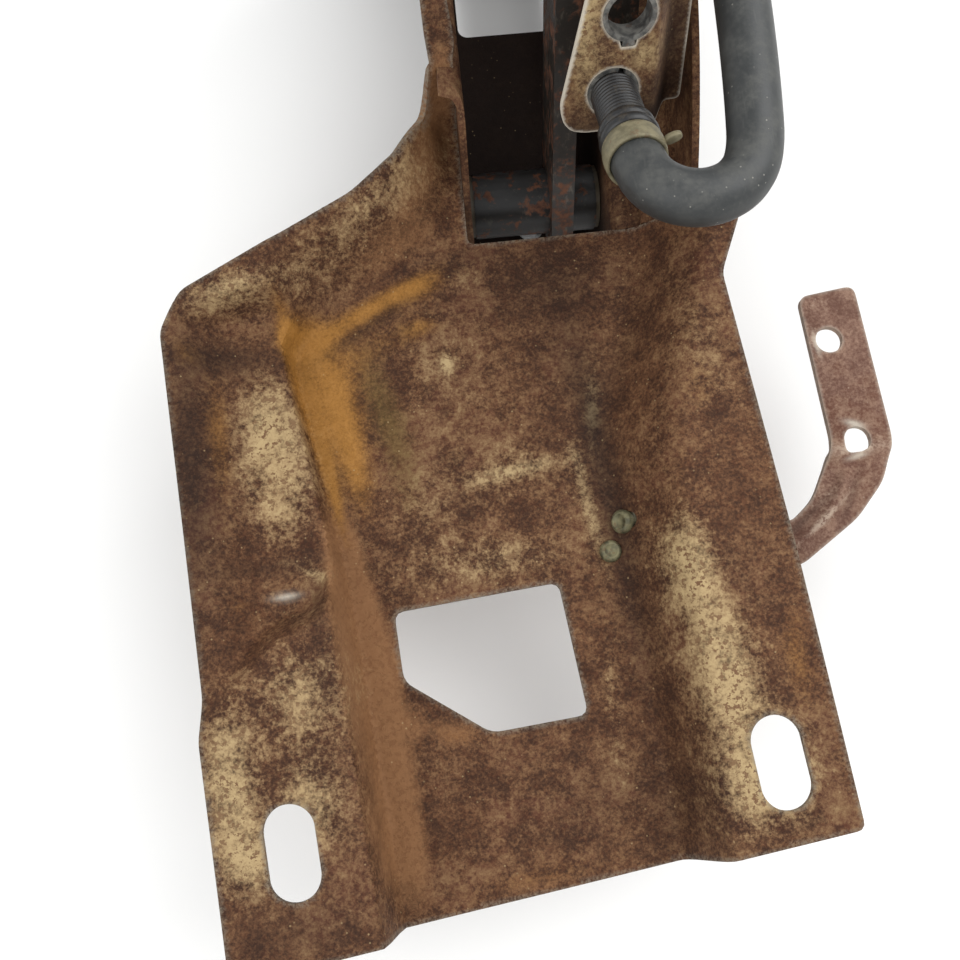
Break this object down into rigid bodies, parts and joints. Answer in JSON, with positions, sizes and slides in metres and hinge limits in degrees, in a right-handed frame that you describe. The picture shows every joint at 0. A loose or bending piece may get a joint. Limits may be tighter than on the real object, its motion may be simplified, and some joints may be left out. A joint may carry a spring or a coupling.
{
  "type": "brake pedal support bracket",
  "caption": "Pressed-steel support bracket bolted to a firewall and dash, carrying a suspended brake pedal, its switch plate, a vacuum release valve with hose and a side strap.",
  "frame": {"origin": "centre of the four-stud pattern on the firewall face of the flange", "axes": "+Y out through the firewall, +X to the right, +Z towards the open side that the pedal arm comes out of"},
  "size_m": [0.2263, 0.3855, 0.3061],
  "materials": {
    "rusted_steel": "pressed steel with an even coat of brown rust, rough",
    "strap_steel": "pressed steel, fine pinkish-brown rust",
    "arm_steel": "black paint worn through to dark rust",
    "fastener_zinc": "dull olive zinc plate",
    "retainer_steel": "dull grey spring steel",
    "valve_plastic": "black moulded plastic, satin",
    "hose_rubber": "black vulcanised rubber, dusty matt",
    "pad_rubber": "black ribbed rubber, matt",
    "bush_nylon": "natural nylon"
  },
  "bodies": {
    "bracket": {"main_pressing": "rusted_steel", "neck_channel": "rusted_steel", "outer_cheek": "rusted_steel", "firewall_flange": "rusted_steel", "switch_plate": "rusted_steel", "valve_retainer": "retainer_steel", "spare_switch_retainer": "retainer_steel", "valve_barrel": "valve_plastic", "valve_collar": "valve_plastic", "hose_clamp": "fastener_zinc", "vacuum_hose": "hose_rubber", "hose_connector": "valve_plastic", "side_strap": "strap_steel", "strap_rivets": "fastener_zinc", "pivot_bolt": "fastener_zinc", "pivot_nut": "fastener_zinc", "pivot_washers": "fastener_zinc", "pivot_sleeve": "fastener_zinc"},
    "pedal": {"pedal_hub": "arm_steel", "hub_bushing_left": "bush_nylon", "hub_bushing_right": "bush_nylon", "pedal_arm": "arm_steel", "striker_plate": "arm_steel", "pushrod_pin": "fastener_zinc", "pin_clip": "retainer_steel", "pad_plate": "arm_steel", "pad_rubber": "pad_rubber"},
    "plunger": {"valve_plunger": "valve_plastic"}
  },
  "joints": [
    {"name": "pedal_swing", "type": "hinge", "parent": "bracket", "child": "pedal", "pos_m": [0, -0.145, -0.06], "axis": [-1, 0, 0], "range_deg": [0, 24], "stiffness_Nm_per_rad": 1.5, "springref_deg": -28.65},
    {"name": "plunger_slide", "type": "slide", "parent": "bracket", "child": "plunger", "axis": [-0.0314, 0.8998, -0.4352], "range_m": [-0.006, 0], "stiffness_N_per_m": 300, "springref_m": 0.004}
  ]
}
